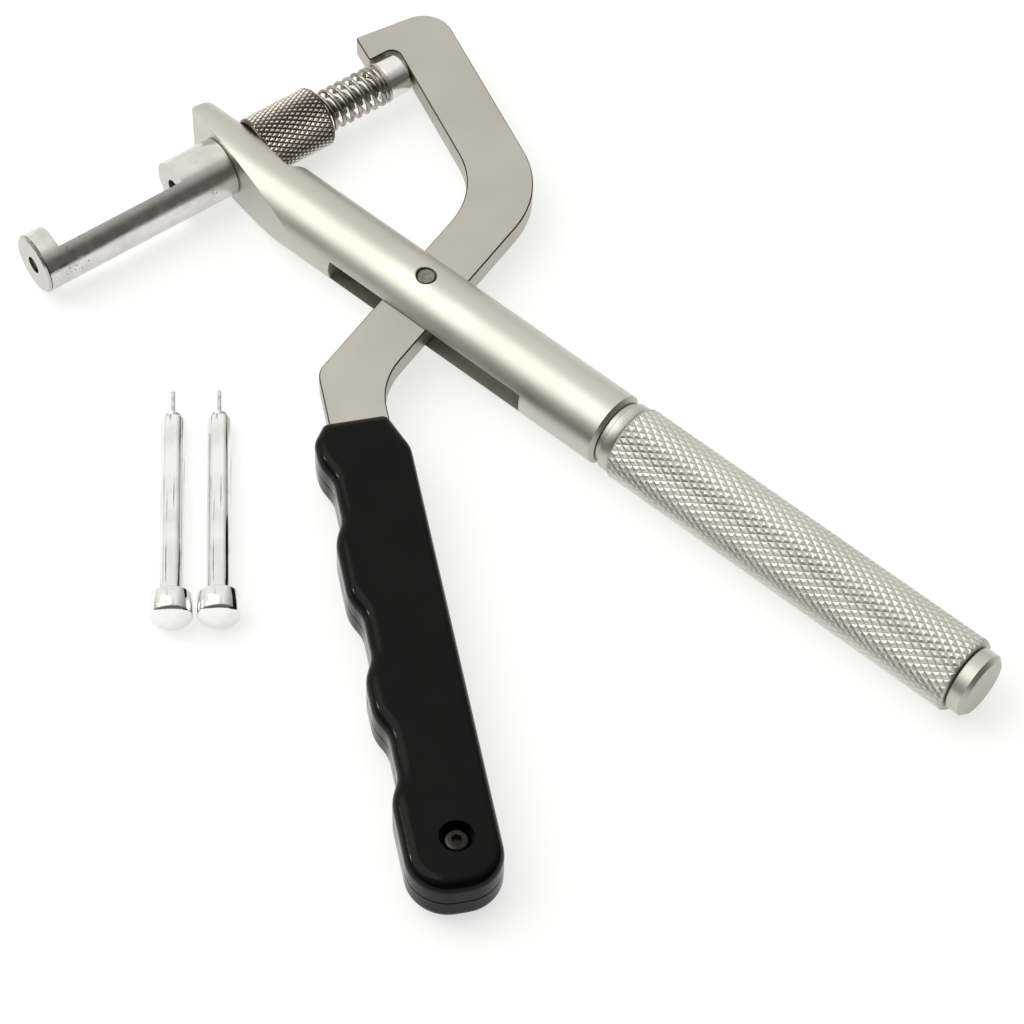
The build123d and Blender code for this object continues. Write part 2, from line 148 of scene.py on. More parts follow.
def linear(code: str) -> tuple[float, float, float, float]:
    """Linear colour of an sRGB hex code.

    Args:
        code: six hex digits after a hash.

    Returns:
        Red, green, blue and an alpha of one.
    """
    channels = [int(code[i : i + 2], 16) / 255 for i in (1, 3, 5)]
    low, toe = 0.04045, 12.92
    values = [c / toe if c <= low else ((c + 0.055) / 1.055) ** 2.4 for c in channels]
    return (values[0], values[1], values[2], 1.0)


def add_node(
    tree: Tree,
    kind: str,
    settings: dict[str, Any] | None = None,
    inputs: dict[Any, Any] | None = None,
) -> bpy.types.Node:
    """Adds one node with its settings and links.

    Args:
        tree: the node tree.
        kind: the node's type name without its ShaderNode prefix.
        settings: values of the node's own properties.
        inputs: a value or an output socket for each named or numbered input.

    Returns:
        The new node.
    """
    node = tree.nodes.new("ShaderNode" + kind)
    for name, value in (settings or {}).items():
        setattr(node, name, value)
    for name, value in (inputs or {}).items():
        if isinstance(value, Socket):
            tree.links.new(value, node.inputs[name])
        else:
            node.inputs[name].default_value = value
    return node


def lumps(where: Socket, size: float, detail: float = 2.0) -> dict[str, Any]:
    """Inputs of a noise whose lumps have a real size.

    Args:
        where: the coordinates it reads.
        size: size of a lump in millimetres.
        detail: number of finer octaves.

    Returns:
        A value for each named input.
    """
    return {"Vector": where, "Scale": 1.0 / (size * MM), "Detail": detail}


def spanned(
    value: Socket, taken: tuple[float, float], given: tuple[float, float] = RISING
) -> dict[str, Any]:
    """Inputs that stretch a value's span to another.

    Args:
        value: the value's socket.
        taken: lowest and highest value taken in.
        given: what they become.

    Returns:
        A value for each named input.
    """
    return {
        "Value": value,
        "From Min": taken[0],
        "From Max": taken[1],
        "To Min": given[0],
        "To Max": given[1],
    }


class Lay(Enum):
    """Which way a surface's fine marks run."""

    PLAIN = (1.0, 1.0, 1.0)
    TURNED = (0.03, 0.03, 1.0)
    DRAWN = (1.0, 1.0, 0.03)


@dataclass(frozen=True)
class Relief:
    """Colour that follows height: dark in the valleys and light on the peaks.

    Attributes:
        low: radius of the valleys, in millimetres from the spindle.
        high: radius of the peaks.
        valley: hex colour in the valleys.
    """

    low: float
    high: float
    valley: str


@dataclass(frozen=True)
class Finish:
    """A surface and how it was made, drawn with noise at real sizes in millimetres.

    A method that draws takes the node tree and the finish's own coordinates, and returns the
    socket of what its first line says.

    Attributes:
        name: the material's name.
        light: hex colour of the clean surface.
        shade: hex colour of its handled patches.
        rough: lowest and highest roughness.
        spindle: the line its marks follow.
        metallic: one for metal and zero for plastic.
        grain: size of the fine grain.
        grain_depth: height of the grain.
        lay: which way the marks run.
        lay_pitch: spacing of the marks.
        lay_depth: height of the marks.
        patch: size of the handled patches.
        relief: colour by height on a knurl.
        pits: hex colour of scattered dark pits, or nothing.
        reflection_streaks: hex colour of painted reflection in thin broken lines along the lay, or
            nothing.
        end_shade: hex colour of painted shade on the end faces, or nothing.
        seams: (place along the spindle, half width) of each line of painted shade.
        seam_colour: hex colour of that painted shade.
    """

    name: str
    light: str
    shade: str
    rough: tuple[float, float]
    spindle: Spindle = UPRIGHT
    metallic: float = 1.0
    grain: float = 0.3
    grain_depth: float = 0.004
    lay: Lay = Lay.PLAIN
    lay_pitch: float = 0.3
    lay_depth: float = 0.0
    patch: float = 14.0
    relief: Relief | None = None
    pits: str | None = None
    reflection_streaks: str | None = None
    end_shade: str | None = None
    seams: tuple[tuple[float, float], ...] = ()
    seam_colour: str = "#4E4A43"

    def local(self, tree: Tree) -> Socket:
        """Object coordinates turned so that Z runs along the finish's spindle."""
        back = self.spindle.turn().inverted()
        where = add_node(tree, "TexCoord").outputs["Object"]
        place = {
            "Vector": where,
            "Rotation": back.to_euler(),
            "Location": -(back @ self.spindle.point(0)),
        }
        return add_node(tree, "Mapping", None, place).outputs["Vector"]

    def off_line(self, tree: Tree, where: Socket) -> Socket:
        """How far a point is from the Z axis of its coordinates."""
        flat = add_node(tree, "VectorMath", TIMES, {0: where, 1: (1, 1, 0)}).outputs["Vector"]
        return add_node(tree, "VectorMath", LENGTH, {0: flat}).outputs["Value"]

    def sideways(self, tree: Tree, where: Socket) -> Socket:
        """One on faces along the spindle and zero on its end faces."""
        facing = add_node(tree, "NewGeometry").outputs["True Normal"]
        inputs = {0: facing, 1: tuple(self.spindle.along)}
        end_on = add_node(tree, "VectorMath", DOT, inputs).outputs["Value"]
        flat = add_node(tree, "Math", SIZE, {0: end_on}).outputs["Value"]
        inputs = spanned(flat, END_ON_SPAN, FALLING)
        return add_node(tree, "MapRange", SMOOTH, inputs).outputs["Result"]

    def marks(self, tree: Tree, where: Socket) -> Socket:
        """The tool's marks: noise drawn out along the lay."""
        inputs = {"Vector": where, "Scale": self.lay.value}
        drawn = add_node(tree, "Mapping", None, inputs).outputs["Vector"]
        inputs = lumps(drawn, self.lay_pitch, MARK_DETAIL)
        return add_node(tree, "TexNoise", None, inputs).outputs["Fac"]

    def colour(self, tree: Tree, where: Socket) -> Socket:
        """Base colour: clean and handled patches, with each kind of mark that the finish has."""
        inputs = lumps(where, self.patch, PATCH_DETAIL)
        patch = add_node(tree, "TexNoise", None, inputs).outputs["Fac"]
        share = add_node(tree, "MapRange", SMOOTH, spanned(patch, PATCH_SPAN)).outputs["Result"]
        inputs = {SHARE: share, UNDER: linear(self.light), OVER: linear(self.shade)}
        found = add_node(tree, "Mix", TINT, inputs).outputs[TINTED]
        marks = (
            # darker valleys: oxide on the sleeve, painted shade with some dirt on the handle
            (self.relief and self.relief.valley, self.raised, OVER, UNDER),
            (self.pits, self.pitted, UNDER, OVER),
            # painted reflection: thin dark lines along the draw
            (self.reflection_streaks, self.reflection_streaked, UNDER, OVER),
            # painted shade on the end faces
            (self.end_shade, self.sideways, OVER, UNDER),
            # painted shade along the seams
            (self.seams and self.seam_colour, self.seam_shaded, UNDER, OVER),
        )
        for colour, mask, clean, marked in marks:
            if colour:
                inputs = {SHARE: mask(tree, where), clean: found, marked: linear(colour)}
                found = add_node(tree, "Mix", TINT, inputs).outputs[TINTED]
        return found

    def raised(self, tree: Tree, where: Socket) -> Socket:
        """One on the peaks of a knurl and zero in its valleys."""
        span = (self.relief.low * MM, self.relief.high * MM)
        inputs = spanned(self.off_line(tree, where), span)
        return add_node(tree, "MapRange", SMOOTH, inputs).outputs["Result"]

    def pitted(self, tree: Tree, where: Socket) -> Socket:
        """One in the pits, which lie scattered in loose fields."""
        inputs = lumps(where, PIT_SIZE, PIT_DETAIL)
        speck = add_node(tree, "TexNoise", None, inputs).outputs["Fac"]
        fields = add_node(tree, "TexNoise", None, lumps(where, PIT_FIELD_SIZE)).outputs["Fac"]
        inputs = spanned(fields, PIT_FIELD_SPAN)
        gather = add_node(tree, "MapRange", SMOOTH, inputs).outputs["Result"]
        deep = add_node(tree, "Math", TIMES, {0: speck, 1: gather}).outputs["Value"]
        return add_node(tree, "MapRange", SMOOTH, spanned(deep, PIT_SPAN)).outputs["Result"]

    def reflection_streaked(self, tree: Tree, where: Socket) -> Socket:
        """One on the painted reflection: thin broken lines along the lay, which the end faces have
        none of.
        """
        inputs = spanned(self.marks(tree, where), REFLECTION_STREAK_SPAN)
        thin = add_node(tree, "MapRange", SMOOTH, inputs).outputs["Result"]
        inputs = {0: thin, 1: self.sideways(tree, where)}
        return add_node(tree, "Math", TIMES, inputs).outputs["Value"]

    def seam_shaded(self, tree: Tree, where: Socket) -> Socket:
        """One in the seams' painted shade, which is broken up a little and keeps off the end faces.
        """
        along = add_node(tree, "SeparateXYZ", None, {"Vector": where}).outputs["Z"]
        breaks = add_node(tree, "TexNoise", None, lumps(where, SEAM_BREAK_SIZE)).outputs["Fac"]
        inputs = spanned(breaks, SEAM_BREAK_SPAN, SEAM_SHADE_SHARE)
        patchy = add_node(tree, "MapRange", SMOOTH, inputs).outputs["Result"]
        whole: Socket | float = 0.0
        for place, half in self.seams:
            gap = add_node(tree, "Math", LESS, {0: along, 1: place * MM}).outputs["Value"]
            reach = add_node(tree, "Math", SIZE, {0: gap}).outputs["Value"]
            inputs = spanned(reach, (half * SEAM_CORE * MM, half * MM), FALLING)
            near = add_node(tree, "MapRange", SMOOTH, inputs).outputs["Result"]
            whole = add_node(tree, "Math", PLUS, {0: near, 1: whole}).outputs["Value"]
        broken = add_node(tree, "Math", TIMES, {0: patchy, 1: whole}).outputs["Value"]
        inputs = {0: broken, 1: self.sideways(tree, where)}
        return add_node(tree, "Math", TIMES, inputs).outputs["Value"]

    def height(self, tree: Tree, where: Socket) -> Socket:
        """Normal of the fine grain and of the tool's marks."""
        inputs = lumps(where, self.grain, GRAIN_DETAIL)
        grain = add_node(tree, "TexNoise", None, inputs).outputs["Fac"]
        inputs = {"Strength": 1.0, "Distance": self.grain_depth * MM, "Height": grain}
        normal = add_node(tree, "Bump", None, inputs).outputs["Normal"]
        if self.lay_depth:
            inputs = {
                "Strength": self.sideways(tree, where) if self.lay is Lay.DRAWN else 1.0,
                "Distance": self.lay_depth * MM,
                "Height": self.marks(tree, where),
                "Normal": normal,
            }
            normal = add_node(tree, "Bump", None, inputs).outputs["Normal"]
        return normal

    def extra(self, tree: Tree, where: Socket, shader: bpy.types.Node) -> None:
        """Changes that one finish makes to the shader; none for a plain one.

        Args:
            tree: the node tree.
            where: the finish's own coordinates; not used.
            shader: the surface's shader.
        """

    def material(self) -> bpy.types.Material:
        """The finished node material, made once for each name."""
        made = bpy.data.materials.get(self.name)
        if made:
            return made
        made = bpy.data.materials.new(self.name)
        made.use_nodes = True
        tree = made.node_tree
        tree.nodes.clear()
        where = self.local(tree)
        inputs = lumps(where, self.patch * WIPE_SHARE, WIPE_DETAIL)
        wipe = add_node(tree, "TexNoise", None, inputs).outputs["Fac"]
        inputs = spanned(wipe, WIPE_SPAN, self.rough)
        inputs = {
            "Base Color": self.colour(tree, where),
            "Metallic": self.metallic,
            "Roughness": add_node(tree, "MapRange", SMOOTH, inputs).outputs["Result"],
            "Normal": self.height(tree, where),
        }
        shader = add_node(tree, "BsdfPrincipled", None, inputs)
        self.extra(tree, where, shader)
        add_node(tree, "OutputMaterial", None, {"Surface": shader.outputs["BSDF"]})
        return made


@dataclass(frozen=True)
class PlateFinish(Finish):
    """Sheared and tumbled steel plate.

    The broken edge round each face takes a dark line of painted shade, and the sheared side is
    brighter.

    Attributes:
        edge: hex colour of the painted shade on the broken edge.
        side: hex colour of the sheared side.
        side_span: how far upright a surface is from the side to the broken edge.
        face_span: the same, from the broken edge to the face.
    """

    edge: str = "#4A4640"
    side: str = "#B5B0A8"
    side_span: tuple[float, float] = (0.3, 0.5)
    face_span: tuple[float, float] = (0.85, 0.95)

    def extra(self, tree: Tree, where: Socket, shader: bpy.types.Node) -> None:
        """Paints shade on the plate's edge, and colours its side, by which way the surface faces."""
        facing = add_node(tree, "NewGeometry").outputs["True Normal"]
        upright = add_node(tree, "SeparateXYZ", None, {"Vector": facing}).outputs["Z"]
        flat = add_node(tree, "Math", SIZE, {0: upright}).outputs["Value"]
        face = shader.inputs["Base Color"].links[0].from_socket
        inputs = spanned(flat, self.side_span)
        below = add_node(tree, "MapRange", SMOOTH, inputs).outputs["Result"]
        inputs = spanned(flat, self.face_span)
        above = add_node(tree, "MapRange", SMOOTH, inputs).outputs["Result"]
        # painted shade on the broken edge, between the side and the face
        inputs = {SHARE: below, UNDER: linear(self.side), OVER: linear(self.edge)}
        side = add_node(tree, "Mix", TINT, inputs).outputs[TINTED]
        whole = add_node(tree, "Mix", TINT, {SHARE: above, UNDER: side, OVER: face})
        tree.links.new(whole.outputs[TINTED], shader.inputs["Base Color"])


@dataclass(frozen=True)
class BarFinish(Finish):
    """Blasted bar stock with painted shade in the countersink round the pivot.

    Attributes:
        rim: radius of the countersink, in millimetres.
        fade: radius at which the painted shade has faded out, as a share of the countersink's.
        countersink_shade: hex colour of the painted shade in the countersink.
    """

    rim: float = 2.2
    fade: float = 1.02
    countersink_shade: str = "#5A574F"

    def extra(self, tree: Tree, where: Socket, shader: bpy.types.Node) -> None:
        """Paints shade into the countersink by its distance from the pivot's line."""
        place = add_node(tree, "TexCoord").outputs["Object"]
        pivot = pivot_point()
        away = add_node(tree, "VectorMath", LESS, {0: place, 1: (pivot.x, pivot.y, 0)})
        reach = self.off_line(tree, away.outputs["Vector"])
        edge = self.rim * MM
        inputs = spanned(reach, (edge, edge * self.fade))
        share = add_node(tree, "MapRange", SMOOTH, inputs).outputs["Result"]
        clean = shader.inputs["Base Color"].links[0].from_socket
        inputs = {SHARE: share, UNDER: linear(self.countersink_shade), OVER: clean}
        whole = add_node(tree, "Mix", TINT, inputs).outputs[TINTED]
        tree.links.new(whole, shader.inputs["Base Color"])


@dataclass(frozen=True)
class PlasticFinish(Finish):
    """Moulded thermoplastic: a close skin from the mould, with a wax-like gloss.

    Attributes:
        metallic: none in a plastic.
        ior: its index of refraction.
        specular: strength of its mirror part.
    """

    metallic: float = 0.0
    ior: float = 1.49
    specular: float = 0.12

    def extra(self, tree: Tree, where: Socket, shader: bpy.types.Node) -> None:
        """Gives the skin its gloss."""
        shader.inputs["IOR"].default_value = self.ior
        shader.inputs["Specular IOR Level"].default_value = self.specular


# Clear-anodised aluminium, bead blasted: soft, slightly warm, no sharp reflections, and
# painted shade on its end faces.
SATIN_ALUMINIUM = BarFinish(
    "bead_blasted_anodised_aluminium",
    light="#C8C7BE",
    shade="#C1C0B6",
    end_shade="#B3B2A8",
    rough=(0.38, 0.44),
    spindle=BAR_SPINDLE,
    grain=0.28,
    grain_depth=0.0030,
    patch=22.0,
)
# The same stock, knurled after turning: the valleys are darker than the peaks, painted shade with
# some dirt.
KNURLED_ALUMINIUM = Finish(
    "knurled_anodised_aluminium",
    light="#D9D8D1",
    shade="#D0CFC6",
    rough=(0.40, 0.48),
    spindle=BAR_SPINDLE,
    grain=0.30,
    grain_depth=0.0025,
    patch=18.0,
    relief=Relief(7.90, 8.08, "#BBB8AF"),
)
# Turned, then stoned lengthwise and left bright, with a few pits from handling. The end
# faces get painted shade.
TURNED_ALUMINIUM = Finish(
    "bright_turned_aluminium",
    light="#DAD8D4",
    shade="#CCCAC6",
    end_shade="#BEBDB7",
    rough=(0.14, 0.26),
    spindle=JAW_SPINDLE,
    grain=0.45,
    grain_depth=0.0050,
    lay=Lay.DRAWN,
    lay_pitch=0.55,
    lay_depth=0.0120,
    patch=5.0,
    pits="#6B675F",
    # dark lines of painted shade round two edges of the jaw
    seams=((-48.4, 0.6), (-1.95, 0.22)),
)
# Sheared plate, tumbled and dull plated: even warm grey with a fine orange peel, and
# painted shade on its broken edges.
PLATE_STEEL = PlateFinish(
    "tumbled_plated_steel",
    light="#B9B4AC",
    shade="#B2ADA6",
    rough=(0.36, 0.44),
    grain=0.45,
    grain_depth=0.0030,
    patch=20.0,
)
# Black oxide over a knurl: brown-black valleys, with the peaks worn back to bright steel.
BLACK_OXIDE = Finish(
    "worn_black_oxide_steel",
    light="#EAE3DA",
    shade="#C6BCB2",
    rough=(0.24, 0.36),
    spindle=JAW_SPINDLE,
    grain=0.25,
    grain_depth=0.0030,
    patch=4.0,
    relief=Relief(6.56, 6.74, "#5C524B"),
)
# Nickel-plated spring wire, drawn and bright.
SPRING_WIRE = Finish(
    "nickel_plated_spring_wire",
    light="#B3ADA5",
    shade="#8E867C",
    rough=(0.14, 0.22),
    spindle=JAW_SPINDLE,
    grain=0.2,
    grain_depth=0.0015,
    patch=2.5,
)
# Thin zinc-plated washers and nut: bluish and softly bright.
ZINC_STEEL = Finish(
    "zinc_plated_steel",
    light="#C6C4BF",
    shade="#A9A6A0",
    rough=(0.22, 0.32),
    spindle=JAW_SPINDLE,
    grain=0.3,
    grain_depth=0.0015,
    lay=Lay.TURNED,
    lay_pitch=0.3,
    lay_depth=0.0010,
    patch=4.0,
)
# Pivot pin: plain steel, its ends peened and blasted with the bar.
PIN_STEEL = Finish(
    "peened_pin_steel",
    light="#8A8780",
    shade="#676560",
    rough=(0.32, 0.5),
    grain=0.7,
    grain_depth=0.02,
    patch=1.2,
)
# Grip screw: dark plated, its head polished by the driver.
SCREW_STEEL = Finish(
    "dark_plated_screw_steel",
    light="#3A3836",
    shade="#262423",
    rough=(0.12, 0.2),
    grain=0.3,
    grain_depth=0.002,
    patch=3.0,
)
# Moulded black nylon: deep black with a soft gloss over a very fine spark texture.
BLACK_NYLON = PlasticFinish(
    "moulded_black_nylon",
    light="#060505",
    shade="#090808",
    rough=(0.13, 0.19),
    spindle=GRIP_SPINDLE,
    grain=0.6,
    grain_depth=0.003,
    patch=16.0,
)


# Polished nickel plate on drawn rod: mirror bright, with faint marks along it.
POLISHED_NICKEL = Finish(
    "polished_nickel",
    light="#F7E2C6",
    shade="#E2CCAE",
    rough=(0.05, 0.11),
    spindle=JAW_SPINDLE,
    grain=0.5,
    grain_depth=0.0010,
    lay=Lay.DRAWN,
    lay_pitch=0.6,
    lay_depth=0.0100,
    patch=6.0,
)
# The same plate unworn and whiter, with thin dark lines along the draw: painted reflection on the
# real draw marks.
SPARE_NICKEL = replace(POLISHED_NICKEL, light="#EFEFEE", shade="#DFDFDE", reflection_streaks="#6F6F71")
# Hardened and ground needle wire: grey and finely ringed by the wheel.
NEEDLE_STEEL = Finish(
    "needle_steel",
    light="#D6D6D6",
    shade="#B9B9BB",
    rough=(0.16, 0.26),
    spindle=JAW_SPINDLE,
    grain=0.2,
    grain_depth=0.001,
    lay=Lay.TURNED,
    lay_pitch=0.2,
    lay_depth=0.001,
    patch=2.0,
)


# ---------------------------------------------------------------- modelling
class Bench:
    """The few moves that every modelled piece is made with."""

    @staticmethod
    def clear() -> None:
        """Deselects everything."""
        for item in bpy.context.selected_objects:
            item.select_set(False)

    @staticmethod
    @contextmanager
    def editing(piece: Piece) -> Iterator[None]:
        """Opens a piece in edit mode and closes it again."""
        bpy.context.view_layer.objects.active = piece
        bpy.ops.object.mode_set(mode="EDIT")
        yield
        bpy.ops.object.mode_set(mode="OBJECT")

    @staticmethod
    def pick_edges(test: Callable[[bmesh.types.BMEdge], bool]) -> None:
        """Selects the edges that pass a test, and nothing else."""
        bpy.ops.mesh.select_mode(type="EDGE")
        bpy.ops.mesh.select_all(action="DESELECT")
        mesh = bpy.context.edit_object.data
        edges = bmesh.from_edit_mesh(mesh)
        for edge in edges.edges:
            edge.select = test(edge)
        edges.select_flush_mode()
        bmesh.update_edit_mesh(mesh)

    @staticmethod
    def pick_end(place: float) -> None:
        """Selects the open edges at one place along Z."""
        Bench.pick_edges(
            lambda edge: edge.is_boundary
            and all(abs(corner.co.z - place) < EPSILON for corner in edge.verts)
        )

    @staticmethod
    def ring(radius: float, place: float, now: float) -> None:
        """Extrudes the selected ring along Z and scales it.

        Args:
            radius: share of its present radius that it gets.
            place: where along Z it goes.
            now: where it is.
        """
        move = {"value": (0, 0, place - now)}
        bpy.ops.mesh.extrude_region_move(TRANSFORM_OT_translate=move)
        bpy.ops.transform.resize(value=(radius, radius, 1), center_override=(0, 0, place))

    @staticmethod
    def face_out() -> None:
        """Merges doubles and turns all faces outward, in edit mode."""
        bpy.ops.mesh.select_all(action="SELECT")
        bpy.ops.mesh.remove_doubles(threshold=EPSILON)
        bpy.ops.mesh.normals_make_consistent(inside=False)

    @staticmethod
    def settle(piece: Piece, matrix: Matrix, smooth: float = 30.0) -> None:
        """Puts a piece in its place, with the place in its mesh, and smooths it.

        Args:
            piece: the piece, modelled about the world's Z in millimetres.
            matrix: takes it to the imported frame.
            smooth: edges sharper than this many degrees stay sharp.
        """
        Bench.clear()
        piece.select_set(True)
        bpy.context.view_layer.objects.active = piece
        piece.matrix_world = matrix
        bpy.ops.object.transform_apply(location=True, rotation=True, scale=True)
        bpy.ops.object.shade_smooth_by_angle(angle=math.radians(smooth))
        Bench.clear()

    @staticmethod
    def copy(piece: Piece, name: str) -> Piece:
        """A copy of a piece with its own mesh."""
        twin = piece.copy()
        twin.data = piece.data.copy()
        twin.name = name
        bpy.context.collection.objects.link(twin)
        return twin

    @staticmethod
    def join(pieces: Sequence[Piece]) -> Piece:
        """Joins pieces into the first."""
        Bench.clear()
        for piece in pieces:
            piece.select_set(True)
        bpy.context.view_layer.objects.active = pieces[0]
        bpy.ops.object.join()
        return pieces[0]


@dataclass
class TurnedPiece:
    """A piece turned on a lathe, drawn ring by ring.

    Attributes:
        name: the piece's name.
        profile: (place along the spindle, radius) of each ring in turn.
        sides: corners in each ring.
        hollow: the last ring joins the first, as in a washer or a tube.
    """

    name: str
    profile: Profile
    sides: int = 96
    hollow: bool = False

    def build(self) -> Piece:
        """Extrudes a circle from ring to ring and closes it."""
        Bench.clear()
        place, radius = self.profile[0]
        bpy.ops.mesh.primitive_circle_add(vertices=self.sides, radius=radius, fill_type="NOTHING")
        piece = bpy.context.object
        piece.name = self.name
        with Bench.editing(piece):
            bpy.ops.mesh.select_all(action="SELECT")
            bpy.ops.transform.translate(value=(0, 0, place))
            for next_place, next_radius in self.profile[1:]:
                Bench.ring(next_radius / radius, next_place, place)
                place, radius = next_place, next_radius
            if self.hollow:
                Bench.pick_edges(lambda edge: edge.is_boundary)
                bpy.ops.mesh.bridge_edge_loops()
            else:
                self.cap()
            Bench.face_out()
        return piece

    def cap(self) -> None:
        """Fills the first and the last ring."""
        for place, _ in (self.profile[-1], self.profile[0]):
            Bench.pick_end(place)
            bpy.ops.mesh.edge_face_add()


@dataclass(frozen=True)
class KnurledPiece:
    """A tube with a diamond knurl all over its outside.

    Attributes:
        name: the piece's name.
        peak: radius over the diamonds' flats.
        start: where the knurl begins on the spindle.
        end: where it ends.
        around: diamonds round the tube.
        rows: diamonds along it.
        depth: depth of the valleys.
        slope: width of a diamond's sloping side.
        chamfer: end chamfer beyond the knurl.
        bore: radius of the hole through it.
        tall: share of a row that only a diamond's upright diagonal is longer than.
    """

    name: str
    peak: float
    start: float
    end: float
    around: int
    rows: int
    depth: float
    slope: float
    chamfer: float
    bore: float
    tall: float = 0.75

    @property
    def valley(self) -> float:
        """Radius at the bottom of the valleys."""
        return self.peak - self.depth

    def build(self) -> Piece:
        """Cuts a bare tube into diamonds, raises each one, and closes the ends."""
        Bench.clear()
        length = self.end - self.start
        bpy.ops.mesh.primitive_cylinder_add(
            vertices=self.around, radius=self.valley, depth=length, end_fill_type="NOTHING"
        )
        piece = bpy.context.object
        piece.name = self.name
        with Bench.editing(piece):
            bpy.ops.mesh.select_all(action="SELECT")
            bpy.ops.transform.translate(value=(0, 0, (self.start + self.end) / 2))
            self.diamonds(length / self.rows)
            self.close(self.start, self.start - self.chamfer)
            self.close(self.end, self.end + self.chamfer)
            Bench.pick_edges(lambda edge: edge.is_boundary)
            bpy.ops.mesh.bridge_edge_loops()
            Bench.face_out()
        return piece

    def diamonds(self, row: float) -> None:
        """Turns the tube's squares into raised diamonds.

        Args:
            row: length of one diamond along the spindle.
        """

        def rise(edge: bmesh.types.BMEdge) -> float:
            """How far an edge climbs along the spindle."""
            return abs(edge.verts[0].co.z - edge.verts[1].co.z)

        Bench.pick_edges(lambda edge: rise(edge) > row / 2)
        bpy.ops.mesh.subdivide(number_cuts=self.rows - 1)
        bpy.ops.mesh.select_all(action="SELECT")
        crown = self.valley * (1 - math.cos(math.pi / self.around))
        bpy.ops.mesh.poke(offset=crown)
        Bench.pick_edges(
            lambda edge: not edge.is_boundary
            and (rise(edge) < EPSILON or rise(edge) > self.tall * row)
        )
        bpy.ops.mesh.dissolve_edges(use_verts=False, use_face_split=False)
        bpy.ops.mesh.select_mode(type="FACE")
        bpy.ops.mesh.select_all(action="SELECT")
        bpy.ops.mesh.inset(
            thickness=self.slope, depth=self.depth, use_individual=True, use_boundary=True
        )

    def close(self, place: float, tip: float) -> None:
        """Chamfers one end of the tube and turns it in to the bore.

        Args:
            place: where the knurl ends.
            tip: where the tube ends.
        """
        Bench.pick_end(place)
        turned = self.valley - self.chamfer / 2
        Bench.ring(turned / self.valley, tip, place)
        Bench.ring(self.bore / turned, tip, tip)


# ---------------------------------------------------------------- sub-assemblies
def dress(node: str, finish: Finish) -> None:
    """Gives a CAD node a finish in all its slots.

    Args:
        node: the node's name.
        finish: what it gets.
    """
    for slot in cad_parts[node].material_slots:
        slot.material = finish.material()
    LOG.info("dressed %s in %s", node, finish.name)


def mount(piece: Piece, finish: Finish, body: str, nodes: Sequence[str] = ()) -> None:
    """Finishes a modelled piece and puts it on its body.

    Args:
        piece: the piece, already in its place.
        finish: its material.
        body: the CAD body that it rides on.
        nodes: CAD nodes that it replaces.
    """
    piece.data.materials.clear()
    piece.data.materials.append(finish.material())
    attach(piece, body)
    if nodes:
        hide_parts(*nodes)
    LOG.info("made %s on body %s with %d faces", piece.name, body, len(piece.data.polygons))


@dataclass
class Frame:
    """Bar, jaw and pivot pin: the fixed part that the hand holds."""

    def build(self) -> None:
        """Dresses the bar, the jaw and the pin."""
        dress("body_bar", SATIN_ALUMINIUM)
        dress("jaw", TURNED_ALUMINIUM)
        dress("pivot_pin", PIN_STEEL)
        dress("spring_seat_washer", ZINC_STEEL)


@dataclass
class LockingSleeve:
    """Knurled round nut that holds the jaw against the bar.

    Attributes:
        knurl: its knurled tube, with places on the jaw's spindle.
    """

    knurl: KnurledPiece = KnurledPiece(
        name="knurled_locking_sleeve",
        peak=6.8,
        start=6.5,
        end=22.15,
        around=36,
        rows=8,
        depth=0.28,
        slope=0.36,
        chamfer=0.33,
        bore=5.1,
    )

    def build(self) -> None:
        """Makes the sleeve on the jaw's spindle."""
        piece = self.knurl.build()
        Bench.settle(piece, JAW_SPINDLE.matrix(), smooth=20.0)
        mount(piece, BLACK_OXIDE, "sleeve", ["locking_sleeve"])


